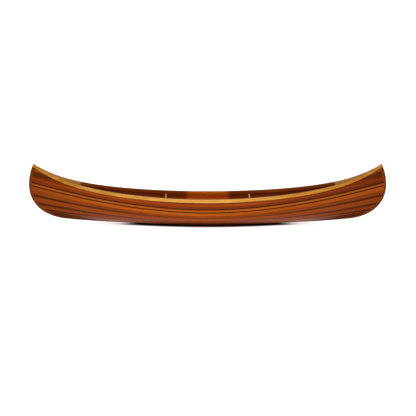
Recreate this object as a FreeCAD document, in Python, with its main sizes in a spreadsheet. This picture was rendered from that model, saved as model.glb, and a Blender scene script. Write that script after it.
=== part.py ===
import FreeCAD, Part
import math
import os
import Sketcher
from FreeCAD import Vector

# A small solo canoe, strip planked in red cedar: full-length planks edge-glued over moulds, ash gunwales,
# decks and thwarts, laminated stems and one caned seat. Millimetres.
# Frame: +X towards the bow, +Y to port, +Z up; the origin is on the keel amidships, at the lowest point.

doc = FreeCAD.newDocument("canoe")
sheet = doc.addObject("Spreadsheet::Sheet", "sizes")

SIZES = [
    # the hull's lines
    ("overall_length", 3050, "from stem face to stem face"),
    ("sheer_beam", 638, "across the planking at the sheer, amidships"),
    ("belly_beam", 644, "across the planking at its widest"),
    ("belly_height", 190, "height of the widest line above the keel, amidships"),
    ("section_power", 2.6, "fullness of the midship section"),
    ("depth", 245, "height of the sheer amidships"),
    ("sheer_rise", 168, "even rise of the sheer from amidships to the tips"),
    ("tip_rise", 106, "extra rise of the sheer close to the tips"),
    ("tip_power", 6.5, "how late the extra rise begins"),
    ("flat_length", 300, "straight and level part of the keel"),
    ("rocker_rise", 80, "rise that the keel's curve would reach at the stem face"),
    ("forefoot_reach", 372, "length of the stem's curved foot"),
    ("stem_height", 343, "height of the foremost point of the stem"),
    ("stem_power", 2.15, "fullness of the curved foot"),
    ("stem_recurve", 38, "how far the tip leans back from the foremost point"),
    # where the plank lines land on the stem
    ("foot_landing", 68, "height at which the keel line leaves the backbone"),
    ("bilge_landing", 123, "height of the bilge plank's lower edge at the stem"),
    ("pin_landing", 331, "height of the lower pinstripe at the stem"),
    # planking
    ("plank", 6, "thickness of the planking"),
    ("pin_width", 7, "width of a pinstripe"),
    ("feature_width", 20, "width of the strip between the pinstripes"),
    ("side_strake_width", 51, "girth of a bilge or topside strake amidships"),
    ("sheer_strake_width", 85, "girth of the top strake amidships"),
    ("dark_filler_length", 349, "how far in from the tip the dark filler starts"),
    ("dark_filler_drop", 103, "depth of the dark filler's lower edge below the sheer at the stem"),
    ("upper_filler_length", 271, "how far in from the tip the upper filler starts"),
    ("upper_filler_drop", 55, "depth of the upper filler's lower edge below the sheer at the stem"),
    ("filler_blunt", 2, "width of a filler's blunt inner end"),
    # backbone
    ("stem_width", 18, "width of the keel strip and outer stems"),
    ("stem_depth", 22, "depth of the outer stem in front of the planking"),
    ("stem_lap", 45, "how far in front of the heel the outer stem's feathered foot starts"),
    ("inner_stem_depth", 50, "length of the inner stem behind the plank ends"),
    ("keel_flat", 0.2, "depth of the level flat planed on the keel strip"),
    # gunwales
    ("rail_height", 28, "height of the outwales and inwales"),
    ("outwale_width", 14, "width of an outwale"),
    ("outwale_tip_width", 5, "width of an outwale at the tip"),
    ("inwale_width", 12, "width of an inwale"),
    # decks
    ("deck_length", 396, "from the tip to the deck's inner corners"),
    ("deck_hollow", 24, "how far the deck's inner edge curves in"),
    ("deck_thickness", 6, "thickness of a deck plate"),
    ("deck_recess", 20, "depth of the deck plate below the gunwale tops"),
    ("deck_crown", 5, "rise of the deck plate at its middle"),
    ("trim_gap", 4, "least room left between the side trims, where they end"),
    ("coaming_thickness", 8, "thickness of the coaming and of the deck's side trim"),
    # thwarts
    ("thwart_station", 358, "distance of each thwart from amidships"),
    ("thwart_end_width", 18, "width of a thwart at its ends"),
    ("thwart_waist", 11, "width of a thwart at its middle"),
    ("thwart_thickness", 18, "thickness of a thwart"),
    ("fit_gap", 1.5, "gap between a crosspiece's end and the planking"),
    ("bolt_diameter", 5, "thwart bolts"),
    ("bolt_head_diameter", 9, "head of a thwart bolt, let in flush with the inwale"),
    ("bolt_head_height", 3, "height of that head"),
    ("bolt_end", 2, "how far a bolt's end shows below its nut"),
    ("washer_diameter", 14, "washer under a thwart"),
    ("washer_thickness", 1.2, "thickness of a washer"),
    ("nut_width", 9, "width of a nut across its flats"),
    ("nut_height", 5, "height of a nut"),
    # seat
    ("seat_station", -110, "middle of the seat, aft of amidships"),
    ("seat_length", 260, "seat frame, fore and aft"),
    ("seat_width", 400, "seat frame, side to side"),
    ("seat_height", 128, "height of the frame's underside"),
    ("seat_rail_width", 36, "width of a frame rail"),
    ("seat_rail_thickness", 20, "thickness of a frame rail"),
    ("cane_rebate", 9, "ledge that carries the cane sheet's edge"),
    ("cane_thickness", 2, "thickness of the woven cane"),
    ("spline_height", 2, "height of the reed spline over the cane's edge"),
    ("reed_width", 7, "width of the reed spline"),
    ("riser_height", 26, "height of a seat riser"),
    ("riser_thickness", 22, "thickness of a seat riser"),
    ("riser_overhang", 30, "how far a riser runs past the seat frame at each end"),
    ("screw_diameter", 4, "seat screws"),
    ("screw_head_diameter", 8, "screw heads"),
    ("screw_cover", 6, "wood left below a screw's point"),
]
for row, (alias, value, note) in enumerate(SIZES, start=1):
    sheet.set(f"A{row}", note)
    sheet.set(f"B{row}", str(value))
    sheet.setAlias(f"B{row}", alias)
doc.recompute()


def size(alias):
    """One driving size, read from the sheet."""
    return float(getattr(sheet, alias))


STATIONS = 48          # frames along the hull at which its lines are worked out
LOWER_STRAKES = 6      # strakes below the pinstripes on each side
CLEAR = 20             # how far a cutting tool reaches past what it cuts
MIDSHIP_EASE = 0.1     # keeps the plank lines smooth where they pass amidships

half_length = size("overall_length") / 2
half_stem = size("stem_width") / 2
heel_x = half_length - size("forefoot_reach")
tip_x = half_length - size("stem_recurve")
tip_z = size("depth") + size("sheer_rise") + size("tip_rise")


# ---------------------------------------------------------------- the hull's lines

def sheer_z(x):
    """Height of the sheer at a place along the hull."""
    share = abs(x) / tip_x
    return size("depth") + size("sheer_rise") * share**2 + size("tip_rise") * share ** size("tip_power")


def rocker_z(x):
    """Height of the keel line: level amidships, then rising as a parabola."""
    half_flat = size("flat_length") / 2
    share = max(0.0, abs(x) - half_flat) / (half_length - half_flat)
    return size("rocker_rise") * share**2


def stem_face(share):
    """A point on the front of the stem: 0 at the heel, 1 at the foremost point, 2 at the tip."""
    heel_z = rocker_z(heel_x)
    if share <= 1:
        angle = share * math.pi / 2
        bend = 2 / size("stem_power")
        along = size("forefoot_reach") * math.sin(angle) ** bend
        up = (size("stem_height") - heel_z) * (1 - max(0.0, math.cos(angle)) ** bend)
        slope = 2 * heel_z / (heel_x - size("flat_length") / 2)
        lead = slope * along * (1 - along / size("forefoot_reach")) ** 3
        return Vector(heel_x + along, 0, heel_z + up + lead)
    rise = share - 1
    z = size("stem_height") + rise * (tip_z - size("stem_height"))
    return Vector(half_length - size("stem_recurve") * rise**2, 0, z)


def rabbet_point(share):
    """The matching point on the rabbet, where the plank ends meet the outer stem."""
    step = 0.001
    along = stem_face(share + step) - stem_face(max(0.0, share - step))
    inward = Vector(-along.z, 0, along.x).normalize()
    grown = math.sin(min(share / 0.5, 1.0) * math.pi / 2) ** 2
    return stem_face(share) + inward * (size("stem_depth") * grown)


def spline(points, parameters=None):
    """A smooth curve through points, whose parameters may be given."""
    curve = Part.BSplineCurve()
    if parameters is None:
        curve.interpolate(points)
    else:
        curve.interpolate(Points=points, Parameters=parameters)
    return curve


def solve(curve, test, first=None, last=None):
    """The parameter at which a test of the curve's point changes sign."""
    low = curve.FirstParameter if first is None else first
    high = curve.LastParameter if last is None else last
    low_sign = test(curve.value(low)) > 0
    for _ in range(60):
        middle = (low + high) / 2
        if (test(curve.value(middle)) > 0) == low_sign:
            low = middle
        else:
            high = middle
    return (low + high) / 2


# The backbone line: the keel, then up the stem behind its face.
keel_points = [Vector(x, 0, rocker_z(x)) for x in (heel_x * k / 12 for k in range(12))]
stem_points = [rabbet_point(0.001 + k / 12) for k in range(25)]
backbone = spline(keel_points + stem_points + [rabbet_point(2.12)])
start = backbone.FirstParameter
sheer_at = solve(backbone, lambda p: p.z - sheer_z(p.x), backbone.parameter(rabbet_point(1.5)))


def up_to(parameter):
    """Length of the backbone line from amidships."""
    return backbone.length(start, parameter)


def on_backbone(length):
    return backbone.value(backbone.parameterAtDistance(length, start))


def landing(height):
    return up_to(solve(backbone, lambda p: p.z - height))


# The midship section: a superellipse up to the widest line, then a slight lean inwards.
def section_point(share):
    """0 at the keel, 1 at the widest line, 2 at the sheer."""
    half_belly = size("belly_beam") / 2
    if share <= 1:
        angle = share * math.pi / 2
        bend = 2 / size("section_power")
        y = half_belly * math.sin(angle) ** bend
        return Vector(0, y, size("belly_height") * (1 - max(0.0, math.cos(angle)) ** bend))
    rise = share - 1
    lean = half_belly - size("sheer_beam") / 2
    z = size("belly_height") + rise * (size("depth") - size("belly_height"))
    return Vector(0, half_belly - lean * rise**2, z)


section = spline([section_point((k / 30) ** 1.3) for k in range(31)]
                 + [section_point(1 + k / 6) for k in range(1, 7)])
keel_edge_at = solve(section, lambda p: p.y - half_stem, None, section.parameter(section_point(0.7)))
girth = section.length(keel_edge_at, section.LastParameter)


def around(distance):
    """A point of the midship section at a girth from the keel strip's edge."""
    return section.value(section.parameterAtDistance(distance, keel_edge_at))


# Every plank line is named by its girth amidships and its landing on the backbone.
pin = size("pin_width")
feature = size("feature_width")
pin_girth = girth - size("sheer_strake_width") - feature - 2 * pin
lower_landing = landing(size("foot_landing"))
bilge_at = landing(size("bilge_landing"))
pin_at = landing(size("pin_landing")) - pin / 2
BILGE_LINE = 3


def line_landing(number):
    """Where a line below the pinstripes lands: evenly spaced below and above the bilge line."""
    if number <= BILGE_LINE:
        return lower_landing + (bilge_at - lower_landing) * number / BILGE_LINE
    above = (number - BILGE_LINE) / (LOWER_STRAKES - BILGE_LINE)
    return bilge_at + (pin_at - bilge_at) * above


def line_girth(number):
    """Where the line lies amidships: bilge and topside strakes have one width, bottom ones the rest."""
    side_girth = size("side_strake_width") * (LOWER_STRAKES - max(number, BILGE_LINE))
    bottom_girth = pin_girth - size("side_strake_width") * (LOWER_STRAKES - BILGE_LINE)
    return pin_girth - side_girth if number > BILGE_LINE else bottom_girth * number / BILGE_LINE


half_strakes = [k / 2 for k in range(2 * LOWER_STRAKES + 1)]
lines = [(line_girth(k), line_landing(k)) for k in half_strakes]
for rise in (pin, pin + feature, 2 * pin + feature):
    lines.append((pin_girth + rise, pin_at + rise))
PIN_TOP = len(lines) - 1
top_landing = up_to(sheer_at)
lines.append(((lines[-1][0] + girth) / 2, (lines[-1][1] + top_landing) / 2))
lines.append((girth, top_landing))
SHEER = len(lines) - 1


def line_point(number, share):
    """A point on a plank line, port side: share is -1 at the stern, 0 amidships and 1 at the bow."""
    reach, sign = abs(share), math.copysign(1, share)
    around_at, lands = lines[number]
    if number == 0:
        p = on_backbone(max(reach * lands, 1e-6))
        return Vector(sign * p.x, half_stem, p.z)
    middle, end = around(around_at), on_backbone(lands)
    up_share = around_at / girth
    narrowing = 1.09 + (1 - up_share**2) ** 2
    y = half_stem + (middle.y - half_stem) * max(0.0, 1 - reach**2) ** narrowing
    x = reach * end.x
    if number == SHEER:
        return Vector(sign * x, y, sheer_z(x))
    if number == SHEER - 1:
        below, above = line_point(PIN_TOP, reach), line_point(SHEER, reach)
        return Vector(sign * (below.x + above.x) / 2, y, (below.z + above.z) / 2)
    height_share = min(around_at / pin_girth, 1.0)
    power = 1.8 + 0.7 * (1 - height_share**2) ** 1.6
    ease = MIDSHIP_EASE**power
    whole = (1 + MIDSHIP_EASE**2) ** (power / 2) - ease
    climb = ((reach**2 + MIDSHIP_EASE**2) ** (power / 2) - ease) / whole
    return Vector(sign * x, y, middle.z + (end.z - middle.z) * climb)


STATION_NUMBERS = [float(i) for i in range(STATIONS + 1)]
LINE_NUMBERS = [around_at + lands for around_at, lands in lines]
shares = [math.sin((2 * i / STATIONS - 1) * math.pi / 2) for i in range(STATIONS + 1)]
outer_points = [[line_point(j, share) for j in range(SHEER + 1)] for share in shares]


def surface(rows, u_values, v_values):
    """A smooth surface through rows of points: a curve along each line, then across the curves' poles."""
    along = [spline([row[j] for row in rows], u_values) for j in range(len(v_values))]
    across = [spline([curve.getPole(k) for curve in along], v_values)
              for k in range(1, along[0].NbPoles + 1)]
    made = Part.BSplineSurface()
    made.buildFromPolesMultsKnots([curve.getPoles() for curve in across], along[0].getMultiplicities(),
                                  across[0].getMultiplicities(), along[0].getKnots(), across[0].getKnots(),
                                  False, False, along[0].Degree, across[0].Degree)
    return made


def square_in(i, j):
    """The way square into the hull at a station and line."""
    if i in (0, STATIONS):
        return Vector(0, -1, 0)
    along = outer_points[i + 1][j] - outer_points[i - 1][j]
    across = outer_points[i][min(j + 1, SHEER)] - outer_points[i][max(j - 1, 0)]
    way = along.cross(across)
    if j in (0, SHEER):
        way.x = 0
    if j == SHEER:
        way.z = 0
    return way.normalize()


def mirrored(rows):
    return [[Vector(p.x, -p.y, p.z) for p in row] for row in rows]


inside_points = [[outer_points[i][j] + square_in(i, j) * size("plank") for j in range(SHEER + 1)]
                 for i in range(STATIONS + 1)]
SIDES = {"port": (outer_points, inside_points),
         "starboard": (mirrored(outer_points), mirrored(inside_points))}
outer_skin = {side: surface(rows[0], STATION_NUMBERS, LINE_NUMBERS) for side, rows in SIDES.items()}
inner_skin = {side: surface(rows[1], STATION_NUMBERS, LINE_NUMBERS) for side, rows in SIDES.items()}
V_SHEER = LINE_NUMBERS[SHEER]


# ---------------------------------------------------------------- making solids

def closed_solid(faces):
    """A solid from faces that meet along their edges."""
    shell = Part.makeShell(faces)
    shell.sewShape()
    solid = Part.makeSolid(shell)
    if solid.Volume < 0:
        solid.reverse()
    return solid


def ruled(first, second):
    return Part.makeRuledSurface(first.toShape(), second.toShape())


def part_of(skin, u_from, u_to, v_from, v_to):
    piece = skin.copy()
    piece.segment(u_from, u_to, v_from, v_to)
    return piece


def ends_of(skin):
    return skin.getUKnot(1), skin.getUKnot(skin.NbUKnots)


def between(first, second):
    """A solid between two surface pieces whose edges run side by side."""
    faces = [first.toShape(), second.toShape()]
    for edge in (0, 1):
        u_first, u_second = ends_of(first)[edge], ends_of(second)[edge]
        v_first = first.getVKnot((1, first.NbVKnots)[edge])
        v_second = second.getVKnot((1, second.NbVKnots)[edge])
        faces.append(ruled(first.uIso(u_first), second.uIso(u_second)))
        faces.append(ruled(first.vIso(v_first), second.vIso(v_second)))
    return closed_solid(faces)


def bar(corners, parameters):
    """A long solid with four corner lines, given in order around its section."""
    curves = [spline(points, parameters) for points in corners]
    faces = [ruled(curves[k], curves[(k + 1) % 4]) for k in range(4)]
    for end in (0, -1):
        ring = [points[end] for points in corners]
        first, second = Part.LineSegment(ring[0], ring[1]), Part.LineSegment(ring[3], ring[2])
        faces.append(ruled(first, second))
    return closed_solid(faces)


nodes = {}


def add(name, shape):
    """A sub-part whose shape is made from the hull's lines."""
    made = doc.addObject("Part::Feature", name)
    made.Label = name
    made.Shape = shape
    made.Placement = FreeCAD.Placement()
    nodes[name] = made
    return made


def stern_of(shape):
    return shape.mirror(Vector(0, 0, 0), Vector(1, 0, 0))


# ---------------------------------------------------------------- planking

STRAKES = [("garboard", 0, 2), ("inner_bottom_strake", 2, 4), ("outer_bottom_strake", 4, 6),
           ("lower_bilge_strake", 6, 8), ("upper_bilge_strake", 8, 10), ("topside_strake", 10, 12),
           ("lower_pinstripe", 12, 13), ("feature_strip", 13, 14), ("upper_pinstripe", 14, 15)]


# Stations at which the boards of a lower strake butt, staggered from one strake to the next.
BOTTOM_BUTTS = [[0, 7, 14, 20, 28, 34, 41, 48], [0, 6, 12, 18, 30, 36, 42, 48]]
SIDE_BUTTS = [[0, 8, 17, 31, 40, 48], [0, 10, 19, 29, 38, 48]]


def length_of_strake(side, low, high, u_from, u_to):
    pieces = [part_of(skin, u_from, u_to, LINE_NUMBERS[low], LINE_NUMBERS[high])
              for skin in (outer_skin[side], inner_skin[side])]
    return between(*pieces)


def strake(side, low, high):
    """A pinstripe or feature strip is one length; a wide strake is boards butted end to end."""
    if low >= 2 * LOWER_STRAKES:
        return length_of_strake(side, low, high, *ends_of(outer_skin[side]))
    butts = (BOTTOM_BUTTS if low < 2 * BILGE_LINE else SIDE_BUTTS)[low // 2 % 2]
    return Part.makeCompound([length_of_strake(side, low, high, a, b) for a, b in zip(butts, butts[1:])])


def drop_of(kind, x):
    """How far a filler's lower edge lies below the sheer."""
    first = tip_x - size(f"{kind}_filler_length")
    end_x = outer_points[STATIONS][SHEER].x
    return size(f"{kind}_filler_drop") * (max(0.0, abs(x) - first) / (end_x - first)) ** 1.5


def level(skin, u, drop):
    """Where a station of the skin lies a given drop, a function of x, below the sheer."""
    low, high = LINE_NUMBERS[PIN_TOP], V_SHEER
    for _ in range(40):
        middle = (low + high) / 2
        p = skin.value(u, middle)
        if p.z > sheer_z(p.x) - drop(p.x):
            high = middle
        else:
            low = middle
    return (low + high) / 2


def patch(side, stations, low, high, rows=5):
    """A piece of planking between two lines, each a function of the station."""
    pieces = []
    steps = [k / (rows - 1) for k in range(rows)]
    for skin in (outer_skin[side], inner_skin[side]):
        spans = [(low(u), high(u)) for u in stations]
        points = [[skin.value(u, a + (b - a) * step) for step in steps]
                  for u, (a, b) in zip(stations, spans)]
        pieces.append(surface(points, stations, steps))
    return between(*pieces)


def station_at(curve, x):
    """The station at which a line along the hull passes a place x."""
    return solve(curve, lambda p: p.x - x)


def sheer_pieces(side):
    """The sheer strake, and the fillers let in above its ends."""
    skin = outer_skin[side]
    rim = skin.vIso(V_SHEER)

    def dark(u):
        return level(skin, u, lambda x: drop_of("dark", x))

    def upper(u):
        return level(skin, u, lambda x: drop_of("upper", x))

    made = {"sheer_strake": patch(side, STATION_NUMBERS, lambda u: LINE_NUMBERS[PIN_TOP], dark)}
    for kind, low, high in (("dark", dark, upper), ("upper", upper, lambda u: V_SHEER)):
        blunt = (size("filler_blunt") / size(f"{kind}_filler_drop")) ** (2 / 3)
        first = tip_x - size(f"{kind}_filler_length")
        u_from = station_at(rim, first + blunt * (outer_points[STATIONS][SHEER].x - first))
        stations = [u_from + (STATIONS - u_from) * k / 8 for k in range(9)]
        made[f"bow_{kind}_filler"] = patch(side, stations, low, high, 3)
    return made


for side in SIDES:
    for name, low, high in STRAKES:
        add(f"{name}_{side}", strake(side, low, high))
    for name, solid in sheer_pieces(side).items():
        add(f"{name}_{side}", solid)
        if name.startswith("bow"):
            add(f"{name.replace('bow', 'stern')}_{side}", stern_of(solid))


# ---------------------------------------------------------------- backbone

def outer_stem():
    """The laminated stem in front of the plank ends, with its foot feathered into the keel."""
    skin = outer_skin["port"]
    u_last, v_first, v_last = STATIONS, LINE_NUMBERS[0], V_SHEER
    foot_share = (size("stem_lap") / size("forefoot_reach")) ** (size("stem_power") / 2) * 2 / math.pi
    face = [stem_face(foot_share + (2 - foot_share) * k / 40) + Vector(0, half_stem, 0) for k in range(41)]
    keel_side = skin.vIso(v_first)
    u_foot = solve(keel_side, lambda p: p.x - face[0].x)
    keel_side.segment(u_foot, u_last)
    rabbet = skin.uIso(u_last)
    edges = [spline(face).toShape(), Part.LineSegment(face[-1], rabbet.value(v_last)).toShape(),
             rabbet.toShape(), keel_side.toShape(),
             Part.LineSegment(keel_side.value(keel_side.FirstParameter), face[0]).toShape()]
    outline = Part.Face(Part.Wire(Part.__sortEdges__(edges)))
    return outline.extrude(Vector(0, -size("stem_width"), 0))


def behind_stem(skin):
    """The station at which the inner stem ends."""
    rim = skin.vIso(V_SHEER)
    return station_at(rim, rim.value(STATIONS).x - size("inner_stem_depth"))


def inner_stem():
    """The inner stem fills the wedge between the plank ends of both sides."""
    walls = []
    for side in SIDES:
        skin = inner_skin[side]
        walls.append(part_of(skin, behind_stem(skin), STATIONS, LINE_NUMBERS[0], V_SHEER))
    return between(*walls)


def keel_strip():
    """The strip between the garboards: its sides are their edges, and its middle is planed level."""
    edges = []
    for skin in (outer_skin["port"], inner_skin["port"], inner_skin["starboard"], outer_skin["starboard"]):
        line = skin.vIso(LINE_NUMBERS[0])
        u_to = behind_stem(inner_skin["port"])
        line.segment(STATIONS - u_to, u_to)
        edges.append(line)
    faces = [ruled(edges[k], edges[(k + 1) % 4]) for k in range(4)]
    for end in (0, 1):
        ring = [(line.value(line.FirstParameter), line.value(line.LastParameter))[end] for line in edges]
        faces.append(ruled(Part.LineSegment(ring[0], ring[3]), Part.LineSegment(ring[1], ring[2])))
    strip = closed_solid(faces)
    reach = size("flat_length") / 2 - CLEAR / 2
    flat = Part.makeBox(2 * reach, 2 * CLEAR, CLEAR, Vector(-reach, -CLEAR, size("keel_flat") - CLEAR))
    return strip.cut(flat)


stem = outer_stem()
add("bow_outer_stem", stem)
add("stern_outer_stem", stern_of(stem))
wedge = inner_stem()
add("bow_inner_stem", wedge)
add("stern_inner_stem", stern_of(wedge))
add("keel_strip", keel_strip())


# ---------------------------------------------------------------- gunwales

def rim_points(skin, stations, drop, inset):
    """Points at a drop below the sheer, moved sideways from the skin by an inset towards the middle."""
    points = []
    for u in stations:
        p = skin.value(u, level(skin, u, lambda x: drop) if drop else V_SHEER)
        move = inset(p.x) if callable(inset) else inset
        points.append(Vector(p.x, p.y - math.copysign(1, p.y) * move, p.z))
    return points


def outwale(side):
    """Rubbing rail outside the planking; at its ends it runs on past the stem's sides to the tip."""
    turn = 1 if side == "port" else -1

    def outward(x):
        share = min(1.0, abs(x) / tip_x)
        return -(size("outwale_width") - (size("outwale_width") - size("outwale_tip_width")) * share**8)

    corners = []
    for drop, inset in ((0, 0), (0, outward), (size("rail_height"), outward), (size("rail_height"), 0)):
        points = rim_points(outer_skin[side], STATION_NUMBERS, drop, inset)
        share = 2 - drop / (tip_z - size("stem_height"))
        tip = stem_face(share)
        y = half_stem - (inset(tip.x) if callable(inset) else inset)
        corners.append([Vector(-tip.x, turn * y, tip.z)] + points + [Vector(tip.x, turn * y, tip.z)])
    return bar(corners, [p.x for p in corners[0]])


u_aft, u_fore = STATIONS - behind_stem(inner_skin["port"]), behind_stem(inner_skin["port"])
RAIL_STATIONS = [u_aft] + [u for u in STATION_NUMBERS if u_aft + 0.2 < u < u_fore - 0.2] + [u_fore]


def inwale_corners(side):
    height, width = size("rail_height"), size("inwale_width")
    return [rim_points(inner_skin[side], RAIL_STATIONS, drop, inset)
            for drop, inset in ((0, 0), (0, width), (height, width), (height, 0))]


rail_corners = inwale_corners("port")
RAIL_PLACES = [p.x for p in rail_corners[0]]
inwales = {"port": bar(rail_corners, RAIL_PLACES)}
inwales["starboard"] = bar(inwale_corners("starboard"), RAIL_PLACES)
for side in SIDES:
    add(f"outwale_{side}", outwale(side))


# ---------------------------------------------------------------- decks

rail_top = spline(rail_corners[1], RAIL_PLACES)
rail_foot = spline(rail_corners[2], RAIL_PLACES)


def deck_half(x, drop):
    """Half the room between the inwales at a drop below the sheer."""
    share = drop / size("rail_height")
    return rail_top.value(x).y * (1 - share) + rail_foot.value(x).y * share


deck_x = tip_x - size("deck_length")
deck_end = RAIL_PLACES[-1]
WIDE = deck_half(deck_x, size("deck_recess"))
ACROSS = [k / 4 - 1 for k in range(9)]


def deck_top(x, y):
    """Height of the deck plate's slightly crowned top."""
    half = deck_half(x, size("deck_recess"))
    arch = size("deck_crown") * (1 - min(1.0, abs(y) / half) ** 2) * half / WIDE
    return sheer_z(x) - size("deck_recess") + arch


def deck_point(share, step, lift=0.0, back=0.0):
    """A point of the deck: share runs from the inner edge to the stem, step across from side to side."""
    hollow = size("deck_hollow") * (1 - step**2) * (1 - share)
    x = deck_x + (deck_end - deck_x) * share + hollow - back
    y = step * deck_half(x, size("deck_recess"))
    return Vector(x, y, deck_top(x, y) + lift)


def deck():
    steps = [k / 8 for k in range(9)]
    tops = [[deck_point(share, step) for step in ACROSS] for share in steps]
    bottoms = [[p - Vector(0, 0, size("deck_thickness")) for p in row] for row in tops]
    return between(surface(tops, steps, ACROSS), surface(bottoms, steps, ACROSS))


def coaming():
    """The strip across the deck's hollow inner edge, level with the gunwale tops."""
    corners = []
    for back, top in ((0, False), (0, True), (size("coaming_thickness"), True),
                      (size("coaming_thickness"), False)):
        points = [deck_point(0, step, 0, back) for step in ACROSS]
        for p in points:
            p.z = sheer_z(p.x) if top else p.z - size("deck_thickness")
        corners.append(points)
    return bar(corners, ACROSS)


def deck_trim(turn):
    """A light strip on the deck along the inwale, from the coaming towards the tip."""
    width = size("coaming_thickness")
    low, high = deck_x, deck_end
    for _ in range(40):
        middle = (low + high) / 2
        if deck_half(middle, size("deck_recess")) > width + size("trim_gap"):
            low = middle
        else:
            high = middle
    first = deck_x + size("deck_hollow") * (1 - (1 - width / WIDE) ** 2)
    places = [first + (low - first) * k / 8 for k in range(9)]
    corners = [[], [], [], []]
    for x in places:
        foot, head = deck_half(x, size("deck_recess")), deck_half(x, 0)
        corners[0].append(Vector(x, turn * foot, deck_top(x, foot)))
        corners[1].append(Vector(x, turn * head, sheer_z(x)))
        corners[2].append(Vector(x, turn * (head - width), sheer_z(x)))
        corners[3].append(Vector(x, turn * (foot - width), deck_top(x, foot - width)))
    return bar(corners, places)


for name, shape in (("deck", deck()), ("coaming", coaming()),
                    ("deck_trim", Part.makeCompound([deck_trim(1), deck_trim(-1)]))):
    add(f"bow_{name}", shape)
    add(f"stern_{name}", stern_of(shape))


# ---------------------------------------------------------------- room inside the hull

def inside_y(x, z):
    """Half the room between the planking at a place and height."""
    skin = inner_skin["port"]

    def station(v):
        low, high = 0.0, float(STATIONS)
        for _ in range(30):
            middle = (low + high) / 2
            low, high = (middle, high) if skin.value(middle, v).x < x else (low, middle)
        return middle

    low, high = LINE_NUMBERS[1], V_SHEER
    for _ in range(30):
        middle = (low + high) / 2
        p = skin.value(station(middle), middle)
        low, high = (middle, high) if p.z < z else (low, middle)
    return p.y


followed = []


def sheet_value(alias, value, note):
    """Writes a size that follows from the others into the sheet."""
    row = len(SIZES) + 1 + len(followed)
    followed.append(alias)
    sheet.set(f"A{row}", note)
    sheet.set(f"B{row}", f"{value:.4f}")
    sheet.setAlias(f"B{row}", alias)


thwart_top = sheer_z(size("thwart_station")) - size("rail_height")
bolt_y = rail_top.value(size("thwart_station")).y + size("inwale_width") / 2
seat_ends = [size("seat_station") + turn * size("seat_length") / 2 for turn in (-1, 1)]
sheet_value("thwart_z", thwart_top - size("thwart_thickness"), "underside of the thwarts")
sheet_value("thwart_half", inside_y(size("thwart_station") + size("thwart_end_width") / 2,
                                    thwart_top - size("thwart_thickness")) - size("fit_gap"),
            "half the length of a thwart")
sheet_value("bolt_y", bolt_y, "thwart bolts, off the centreline")
sheet_value("seat_half", min(inside_y(x, size("seat_height")) for x in seat_ends) - size("fit_gap"),
            "half the length of the seat's cross rails")
doc.recompute()


# ---------------------------------------------------------------- thwarts

def plane_of(body, role):
    return next(f for f in body.Origin.OriginFeatures if f.Role == role)


def thwart(name, station):
    """A flat ash bar, waisted towards its middle, with its top edges eased and a bolt hole at each end."""
    body = doc.addObject("PartDesign::Body", name)
    body.Label = name
    outline = body.newObject("Sketcher::SketchObject", f"{name}_outline")
    outline.AttachmentSupport = (plane_of(body, "XY_Plane"), [""])
    outline.MapMode = "FlatFace"
    half_span, end, waist = size("thwart_half"), size("thwart_end_width") / 2, size("thwart_waist") / 2
    ring = [(end, half_span), (waist, 0), (end, -half_span),
            (-end, -half_span), (-waist, 0), (-end, half_span)]
    for k, (x, y) in enumerate(ring):
        x_next, y_next = ring[(k + 1) % 6]
        outline.addGeometry(Part.LineSegment(Vector(x, y, 0), Vector(x_next, y_next, 0)))
    for k in range(6):
        outline.addConstraint(Sketcher.Constraint("Coincident", k, 2, (k + 1) % 6, 1))
    widths = ("thwart_end_width", "thwart_waist")
    for k, (x, y) in enumerate(ring):
        sign = 1 if x > 0 else -1
        outline.addConstraint(Sketcher.Constraint("DistanceX", -1, 1, k, 1, x))
        outline.setExpression(f"Constraints[{outline.ConstraintCount - 1}]",
                              f"{sign} * sizes.{widths[1 if y == 0 else 0]} / 2")
        if y == 0:
            outline.addConstraint(Sketcher.Constraint("PointOnObject", k, 1, -1))
        else:
            outline.addConstraint(Sketcher.Constraint("DistanceY", -1, 1, k, 1, y))
            outline.setExpression(f"Constraints[{outline.ConstraintCount - 1}]",
                                  f"{1 if y > 0 else -1} * sizes.thwart_half")
    pad = body.newObject("PartDesign::Pad", f"{name}_pad")
    pad.Profile = outline
    pad.setExpression("Length", "sizes.thwart_thickness")
    holes = body.newObject("Sketcher::SketchObject", f"{name}_holes")
    holes.AttachmentSupport = (plane_of(body, "XY_Plane"), [""])
    holes.MapMode = "FlatFace"
    for turn in (1, -1):
        circle = holes.addGeometry(Part.Circle(Vector(0, turn * bolt_y, 0), Vector(0, 0, 1),
                                               size("bolt_diameter") / 2))
        holes.addConstraint(Sketcher.Constraint("PointOnObject", circle, 3, -2))
        holes.addConstraint(Sketcher.Constraint("DistanceY", -1, 1, circle, 3, turn * bolt_y))
        holes.setExpression(f"Constraints[{holes.ConstraintCount - 1}]", f"{turn} * sizes.bolt_y")
        holes.addConstraint(Sketcher.Constraint("Diameter", circle, size("bolt_diameter")))
        holes.setExpression(f"Constraints[{holes.ConstraintCount - 1}]", "sizes.bolt_diameter")
    doc.recompute()
    before = pad.Shape.Volume
    bores = body.newObject("PartDesign::Pocket", f"{name}_bores")
    bores.Profile = holes
    bores.Type = "ThroughAll"
    bores.Midplane = True
    doc.recompute()
    if bores.Shape.Volume >= before:
        raise RuntimeError(f"{name}: the bolt holes cut nothing")
    body.setExpression("Placement.Base.x", f"{station} * sizes.thwart_station")
    body.setExpression("Placement.Base.z", "sizes.thwart_z")
    nodes[name] = body


thwart("bow_thwart", 1)
thwart("stern_thwart", -1)


# ---------------------------------------------------------------- thwart bolts, washers and nuts

BOLT_PLACES = [(x * size("thwart_station"), y * bolt_y) for x in (1, -1) for y in (1, -1)]
bolt_top = sheer_z(size("thwart_station"))
washer_z = size("thwart_z") - size("washer_thickness")
nut_z = washer_z - size("nut_height")


def group(name, shapes):
    return add(name, Part.makeCompound(shapes))


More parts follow.
